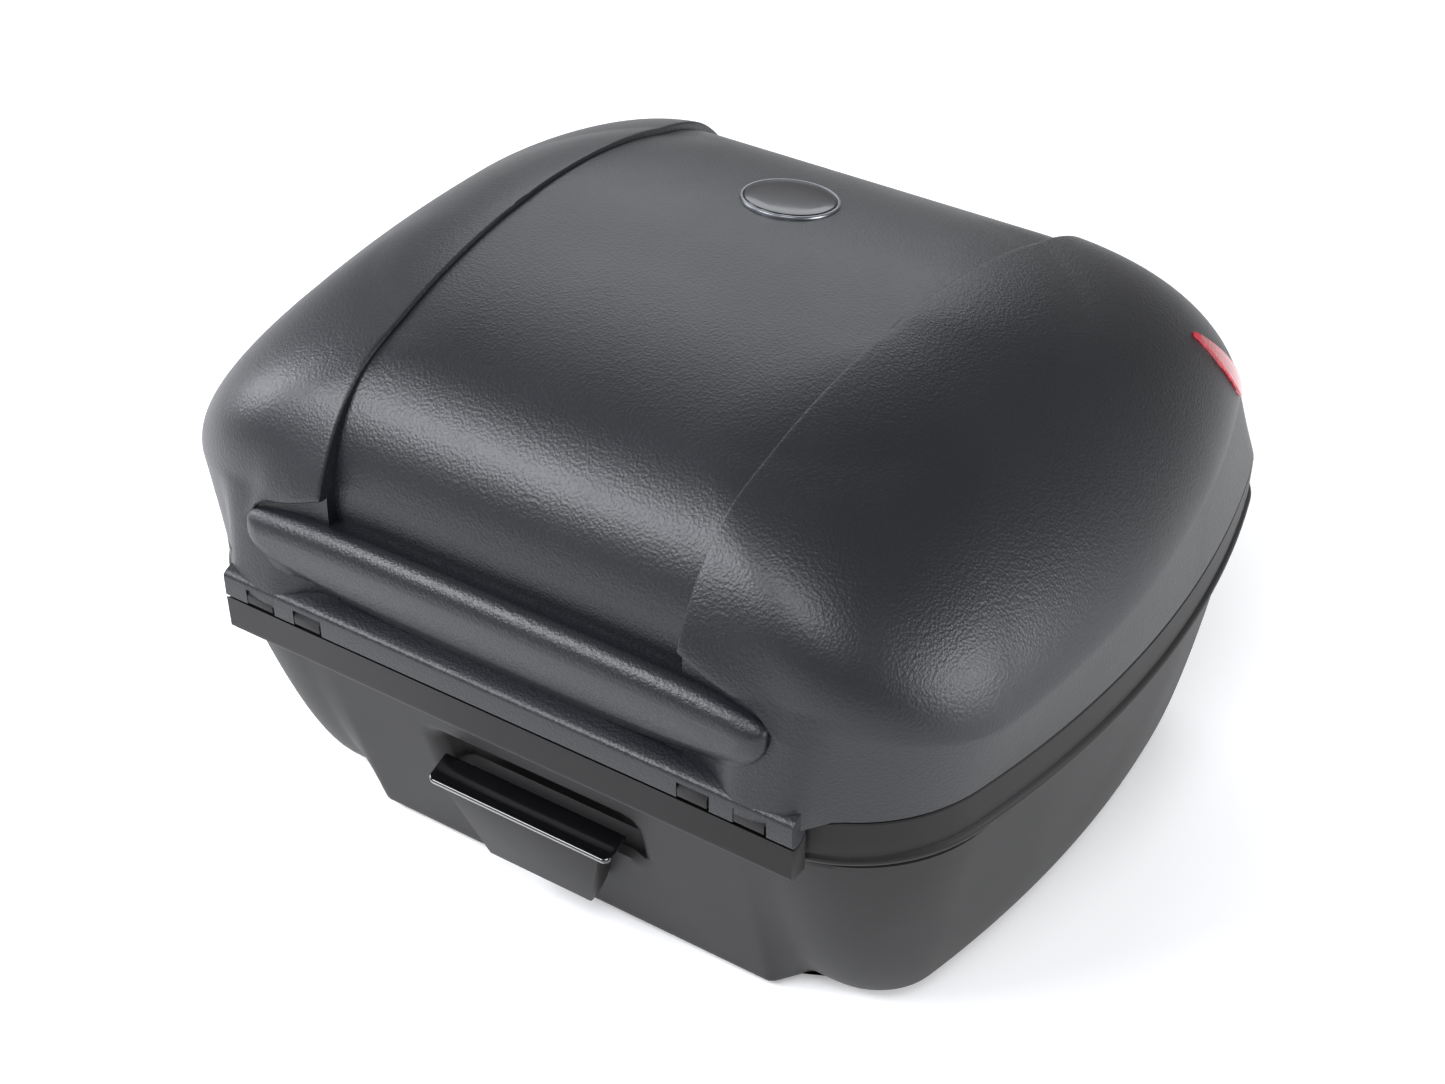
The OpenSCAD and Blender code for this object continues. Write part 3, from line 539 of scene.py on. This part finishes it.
grip_plate = surface("grip_plate", plate_rows, "lever", polished, angle=50)
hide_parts("grip_plate")

# ---------------------------------------------------------------- lid shell
# The upper half: black ABS with a leather-like grain. Two raised shoulders flank a lower middle panel;
# each shoulder ends over the front in an overhanging lip, and a crease runs round the side walls.
lid_bottom, crease_z, lid_front_z, case_h = 178.75, 218.0, 238.0, 333.0
dome = case_h - crease_z
top_y = -5.0


def step_x(y):
    """Where the shoulders begin."""
    return 103.2 + 18 * np.clip((np.asarray(y) + 200) / 400, 0, None) ** 1.2


def shoulder_lines(half):
    """Splits a half outline at the step: middle panel in front, shoulder, middle panel at the rear, each
    with its own number of even columns."""
    x, y = half[:, 0], half[:, 1]
    gap = x - step_x(y)
    run = np.concatenate([[0], np.cumsum(np.hypot(np.diff(x), np.diff(y)))])
    out = np.nonzero((gap[:-1] < 0) & (gap[1:] >= 0))[0][0]
    home = np.nonzero((gap[:-1] >= 0) & (gap[1:] < 0))[0][-1]
    first = run[out] + (run[out + 1] - run[out]) * -gap[out] / (gap[out + 1] - gap[out])
    last = run[home] + (run[home + 1] - run[home]) * gap[home] / (gap[home] - gap[home + 1])
    near = np.array([0, 0.25, 0.6, 1.1, 1.8, 3.0])
    span = last - first
    reach = min(1.0, span / 12)
    body = np.linspace(first + 3 * reach, last - 3 * reach, 112)
    stations = np.concatenate([np.linspace(0, first, 30), first + near[:-1] * reach, body,
                               last - near[-2::-1] * reach, np.linspace(last, run[-1], 30)])
    return np.column_stack([np.interp(stations, run, half[:, c]) for c in range(3)])


def heights(half, side_h, front_h, rear_h):
    """Heights along a half outline, mixed by the way the wall faces."""
    square = np.sin(np.radians(half[:, 2])) ** 2
    return side_h + (np.where(half[:, 2] < 0, front_h, rear_h) - side_h) * square


def dome_row(phi):
    """Half outline of the dome at angle phi up from the crease."""
    u, c = min(1.0, math.sin(phi) / math.sin(math.radians(87))), math.cos(phi)
    w = 111 + (248 - 111) * c ** (4 / 3)
    yf = -30 - (-30 - skin_y) * c ** (2 / 2.6)
    yr = -10 + (rear_y - 4 + 10) * c ** (2 / 2.2)
    d = (yr - yf) / 2
    half = shoulder_lines(fine_outline(w, top_y, 600, yf, yr, min(88 + 14 * u, 0.8 * d),
                                       min(45 + 80 * u, 0.8 * d)))
    z = heights(half, crease_z + dome * u ** (4 / 3),
                lid_front_z + (case_h - lid_front_z) * u ** (2 / 2.6), crease_z + dome * u ** (2 / 2.2))
    return np.column_stack([half[:, :2], z])


def fine_outline(w, bow_y, bow, yf, yr, rf, rr):
    """As outline, with more points and no panel."""
    cx, fy, ry = w - bow, yf + rf, yr - rr
    fx = cx + math.sqrt((bow - rf) ** 2 - (fy - bow_y) ** 2)
    rx = cx + math.sqrt((bow - rr) ** 2 - (ry - bow_y) ** 2)
    a1, a2 = math.atan2(fy - bow_y, fx - cx), math.atan2(ry - bow_y, rx - cx)
    parts = [np.column_stack([np.linspace(0, fx, 60), np.full(60, yf), np.full(60, -90.0)])]
    for px, py, r, start, end in ((fx, fy, rf, -math.pi / 2, a1), (cx, bow_y, bow, a1, a2),
                                  (rx, ry, rr, a2, math.pi / 2)):
        a = np.linspace(start, end, 120)[1:]
        parts.append(np.column_stack([px + r * np.cos(a), py + r * np.sin(a), np.degrees(a)]))
    parts.append(np.column_stack([np.linspace(rx, 0, 60)[1:], np.full(59, yr), np.full(59, 90.0)]))
    return np.concatenate(parts)


def lid_table():
    """Rows of half outlines from the lid's lower edge over the dome to its top, as an array."""
    low = shoulder_lines(fine_outline(half_w - 2, 35, 600, skin_y, rear_y - 1.5, 87, 45))
    low = np.column_stack([low[:, :2], np.full(len(low), lid_bottom)])
    crease = dome_row(0.0)
    rows = [mix(low, crease, s) for s in np.linspace(0, 1, 60)[:-1]]
    turn = np.linspace(0, 1, 190)
    rows += [dome_row(math.radians(89.4) * s) for s in mix(turn, turn ** 1.5, 0.5)]
    return np.array(rows)


table = lid_table()
row_count, column_count = table.shape[:2]
front_columns, shoulder_columns = 30, 122
first, last = front_columns, front_columns + shoulder_columns
assert last + 30 == column_count

# The lip's line over the front, from the step out to the tip of the oval cover.
lip_x = np.array([100, 104.5, 121, 140, 149, 152.5, 156, 170, 400])
lip_z = np.array([255, 253.5, 247, 240, 233, 227, 223, 221, 221])
levels = np.linspace(0, 1, row_count)
line = np.zeros(column_count)
for j in range(column_count):
    x, y, z = table[:, j].T
    if j < last and y[0] < -60:
        over = z - np.interp(x, lip_x, lip_z)
        hit = np.nonzero(over >= 0)[0][0]
        line[j] = np.interp(0, over[hit - 1:hit + 1], levels[hit - 1:hit + 1])
reached = np.nonzero(line)[0][-1]
line[reached + 1:] = line[reached]
low_rows, high_rows = 16, 84
final = []
for j in range(column_count):
    low = np.linspace(0, line[j], low_rows)
    high = line[j] + (1 - line[j]) * np.linspace(0, 1, high_rows) ** 1.12
    wanted = np.concatenate([low, high])
    final.append(np.column_stack([np.interp(wanted, levels, table[:, j, c]) for c in range(3)]))
final = np.array(final).transpose(1, 0, 2)                     # rows, columns, xyz

# The skirt beside the cover's tips leans forward to meet the hinge rail, and falls back to a valley
# before the corner.


def skirt(x, z):
    """How far forward of the front wall the skirt stands."""
    forward = np.interp(z, [178, 186, 200, 225, 243], [12.2, 12, 9.2, 4.5, 0])
    return forward * soft((abs(x) - 112) / 26) * soft((182 - abs(x)) / 17)


for j in range(column_count):
    for k in range(low_rows + high_rows):
        x, y, z = final[k, j]
        if y < -150:
            final[k, j, 1] -= skirt(x, z)

# Outward directions, for the offsets of the step and the lip.
across = np.gradient(final, axis=1)
upward = np.gradient(final, axis=0)
out = np.cross(across, upward)
length = np.linalg.norm(out, axis=2, keepdims=True)
out = out / np.where(length < 1e-9, 1, length)
out[-3:] = (0, 0, 1)

# The lip stands out over the front wall and fades upward and at the tip.
lip_fade = 20.0
for j in range(first, last):
    x = abs(final[low_rows, j, 0])
    if final[0, j, 1] > -60:
        continue
    proud = np.interp(x, [100, 122, 140, 150, 154], [6.0, 6.6, 5.2, 2.0, 0.0])
    start = final[low_rows, j].copy()
    for k in range(low_rows, low_rows + high_rows):
        climb = np.linalg.norm(final[k, j] - start)
        rounding = 0.0
        if proud > 0.2:
            rounding = np.interp(climb, [0, 0.4, 1.0, 1.8], [-1.1, -0.45, -0.12, 0.0])
        final[k, j] += out[k, j] * (proud * math.exp(-(climb / lip_fade) ** 1.5) + rounding * min(1, proud))

# The middle panel lies lower, and the shoulder's edge is rounded down to it.
sink = np.zeros((low_rows + high_rows, column_count))
drop = np.array([1.5, 0.75, 0.34, 0.12, 0.03])
for k in range(low_rows + high_rows):
    for j in list(range(first)) + list(range(last, column_count)):
        y, z = final[k, j, 1], final[k, j, 2]
        if j < first:
            depth = 2.6 + 3.4 * np.clip((-150 - y) / 45, 0, 1) ** 1.5
            sink[k, j] = depth * (np.clip((z - 192) / 12, 0, 1) if k < low_rows else 1)
        else:
            depth = mix(2.6, 5.0, np.clip((y - 40) / 150, 0, 1))
            sink[k, j] = depth * (k / low_rows if k < low_rows else 1)
    if k >= low_rows:
        sink[k, first:first + 5] = drop
        sink[k, last - 5:last] = drop[::-1]
    else:
        sink[k, last - 5:last] = drop[::-1] * k / low_rows
flat = final - out * sink[:, :, None]


def lid_faces(grid):
    """Faces of the half grid: doubled columns at both steps make the step walls."""
    rows_n, cols_n = grid.shape[:2]
    return [(k * cols_n + i, k * cols_n + i + 1, (k + 1) * cols_n + i + 1, (k + 1) * cols_n + i)
            for k in range(rows_n - 1) for i in range(cols_n - 1)]


def top_faces(grid):
    """Closes the slot left along the very top: middle panel, step wall and shoulder, outside and inside."""
    closing = []
    for start, turn in ((0, -1), ((grid.shape[0] - 1) * column_count, 1)):
        end = start + column_count - 1
        for i in range(first):
            if i < first - 1:
                quad = (start + i, start + i + 1, end - i - 1, end - i)
            else:
                quad = (start + i, start + first, start + last - 1, end - i)
            closing.append(quad[::turn])
        closing.append(tuple(start + i for i in range(first, last))[::turn])
    return closing


kept_rows = [0, 4, 8, 12] + list(range(low_rows + 5, low_rows + high_rows, 4)) + [low_rows + high_rows - 1]
inside = flat[kept_rows] - out[kept_rows] * wall
inside[0, :, 2] = lid_bottom
sheet = np.concatenate([inside[::-1], flat])
points, faces = [], []
for mirror in (1, -1):
    offset = len(points)
    points += [(p[0] * mirror, p[1], p[2]) for p in sheet.reshape(-1, 3)]
    side_faces = [tuple(offset + i for i in f) for f in lid_faces(sheet) + top_faces(sheet)]
    faces += side_faces if mirror == 1 else [f[::-1] for f in side_faces]
lid_shell = piece("lid_shell", points, faces, "lid", lid_abs, angle=32)
work = bmesh.new()
work.from_mesh(lid_shell.data)
# Joins the mirrored halves along the middle and closes what is left open at the lower edge.
bmesh.ops.remove_doubles(work, verts=[v for v in work.verts if abs(v.co.x) < 1e-5], dist=2e-5)
bmesh.ops.holes_fill(work, edges=[e for e in work.edges if e.is_boundary], sides=0)
bmesh.ops.recalc_face_normals(work, faces=work.faces)
work.to_mesh(lid_shell.data)
work.free()
lid_shell.data.shade_smooth()
lid_shell.data.set_sharp_from_angle(angle=math.radians(32))
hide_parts("lid_shell")

# ---------------------------------------------------------------- front cover
# The long oval pad over the hinge: a separate moulding with the lid's own grain, clipped on the front
# wall. It is softly domed and a fine gap runs round it.


def oval(inset, depth):
    """Ring of the cover, moved inward by inset; depth runs from 0 at the wall to 1 at its front."""
    ring = []
    for a in np.radians(np.arange(0, 360, 2.5)):
        c, s = math.cos(a), math.sin(a)
        x = (152 - inset) * math.copysign(abs(c) ** (2 / 3.5), c)
        z = (16 - inset) * s ** 0.4 if s > 0 else -(34 - inset) * (-s) ** (2 / 1.9)
        z += lid_front_z - 15
        full = 12.25 - 10.4 * soft((219 - z) / 34)
        base = skirt(x, z)
        y = skin_y - 0.05 - base - max(full - base, 1.6) * depth if depth >= 0 else skin_y + 8
        ring.append((x, y, z))
    return ring


front_cover = surface("front_cover", [oval(q, d / 12.25) for q, d in (
    (1.2, -8.0), (0.8, 0.0), (0.0, 1.0), (0.0, 3.2), (0.35, 4.8), (1.0, 6.2), (1.9, 7.5), (3.1, 8.8),
    (4.7, 10.0), (6.6, 11.0), (8.6, 11.7), (10.8, 12.1), (12.5, 12.25))], "lid", lid_abs, angle=40)
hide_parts("front_cover")

# ---------------------------------------------------------------- badge
# A round, slightly domed disc of glossy cast resin in a bright ring, set in a shallow pocket near the
# lid's rear. It carries nothing.
badge_y, badge_r = 65.0, 24.5


def lid_top(y):
    return crease_z + dome * (1 - ((y + 10) / (rear_y + 6)) ** 2.2) ** (1 / 2.2)


badge_tilt = math.atan2(lid_top(badge_y + 10) - lid_top(badge_y - 10), 20)


def on_badge(points):
    """Points given across, back and out of the lid, from the badge's middle."""
    points = np.array(points, float)
    y = badge_y + points[:, 1] * math.cos(badge_tilt) - points[:, 2] * math.sin(badge_tilt)
    z = lid_top(badge_y) + points[:, 1] * math.sin(badge_tilt) + points[:, 2] * math.cos(badge_tilt)
    return np.column_stack([points[:, 0], y, z])


def turned(profile, steps=96):
    """Rings of a profile of radius and height, turned about the badge's axis."""
    angles = np.radians(np.arange(0, 360, 360 / steps))
    return [on_badge([(r * math.cos(a), r * math.sin(a), h) for a in angles]) for r, h in profile]


resin = moulded("glossy_black_resin", "0a0a10", "101018", 8.0, 0.003, 0.22, coat=0.3)
badge = surface("badge", turned([(badge_r, -3.4), (badge_r, -1.9), (badge_r - 0.3, -1.5),
                                 (badge_r - 1.2, -1.25), (18, -0.95), (10, -0.75), (3, -0.7)]),
                "lid", resin, angle=45)
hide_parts("badge")
chrome = plated("chromed_ring", "6f7175", "8b8d91", 0.3)
badge_rim = surface("badge_rim", turned([(badge_r + 2.1, -3.4), (badge_r + 2.1, -2.0), (badge_r + 1.8, -1.6),
                                         (badge_r + 1.1, -1.4), (badge_r + 0.4, -1.6), (badge_r + 0.1, -2.1),
                                         (badge_r + 0.1, -3.4)]),
                    "lid", chrome, angle=45, caps=False)
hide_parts("badge_rim")

# ---------------------------------------------------------------- reflectors
# Red reflectors wrap the lid's rear corners: clear red acrylic moulded with fine prisms behind, snapped
# in and standing a millimetre or two proud.


def reflector_material():
    """Red acrylic over square prism cells 2.5 millimetres wide."""
    material = bpy.data.materials.new("moulded_red_acrylic")
    material.use_nodes = True
    tree = material.node_tree
    tree.nodes.clear()
    place = add_node(tree, "ShaderNodeTexCoord")
    prisms = add_node(tree, "ShaderNodeTexVoronoi", {"Scale": 400.0, "Randomness": 0.0},
                      {"Vector": (place, "Object")})
    colour = add_node(tree, "ShaderNodeMix", {"data_type": "RGBA", 6: linear("8d0a1c"), 7: linear("d0122f")},
                      {0: (prisms, "Color")})
    bump = add_node(tree, "ShaderNodeBump", {"Strength": 0.35, "Distance": 0.0004},
                    {"Height": (prisms, "Distance")})
    shader = add_node(tree, "ShaderNodeBsdfPrincipled", {"Roughness": 0.18, "IOR": 1.49, "Coat Weight": 1.0,
                                                         "Coat Roughness": 0.05},
                      {"Base Color": (colour, 2), "Normal": (bump, "Normal")})
    add_node(tree, "ShaderNodeOutputMaterial", links={"Surface": (shader, "BSDF")})
    return material


acrylic = reflector_material()
patch_low, patch_high, patch_columns = 224, 272, 21
patch_rows = [k for k in range(low_rows, low_rows + high_rows)
              if patch_low < final[k, last - 22, 2] < patch_high]
patch = []
for n, k in enumerate(patch_rows):
    s = n / (len(patch_rows) - 1)
    run = np.linspace(0, 1, patch_columns)
    corner = first + np.interp(mix(170, 142, s), final[k, first:last, 1], np.arange(shoulder_columns))
    ends = mix(corner, last - 26, run)
    patch.append(np.column_stack([np.interp(ends, np.arange(column_count), grid[k, :, c])
                                  for grid in (final, out) for c in range(3)]))
patch = np.array(patch)
edge = np.ones(patch.shape[:2])                                 # 0 round the rim, 1 inside
edge[[0, -1]] = 0
edge[:, [0, -1]] = 0
top_skin = patch[:, :, :3] + patch[:, :, 3:] * (0.9 + 0.8 * edge[:, :, None])
low_skin = patch[:, :, :3] - patch[:, :, 3:] * 0.6
for name, side_sign in (("reflector_left", -1), ("reflector_right", 1)):
    skin = np.concatenate([top_skin.reshape(-1, 3), low_skin.reshape(-1, 3)]) * (side_sign, 1, 1)
    m, n = top_skin.shape[:2]
    faces = []
    for k in range(m - 1):
        for i in range(n - 1):
            a, b = k * n + i, m * n + k * n + i
            faces += [(a, a + 1, a + n + 1, a + n), (b, b + n, b + n + 1, b + 1)]
        for i in (0, n - 1):
            a, b = k * n + i, m * n + k * n + i
            faces.append((a, a + n, b + n, b))
    for i in range(n - 1):
        for k in (0, m - 1):
            a, b = k * n + i, m * n + k * n + i
            faces.append((a, a + 1, b + 1, b))
    reflector = piece(name, skin, faces, "lid", acrylic, angle=40)
    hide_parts(name)

# ---------------------------------------------------------------- lock
# The key lock at the rear: a chromed zinc barrel with a slot, in the black housing.
lock_chrome = plated("chromed_zinc", "b4b5b8", "c9cacd", 0.18)
finish_node(["lock_barrel"], lock_chrome)
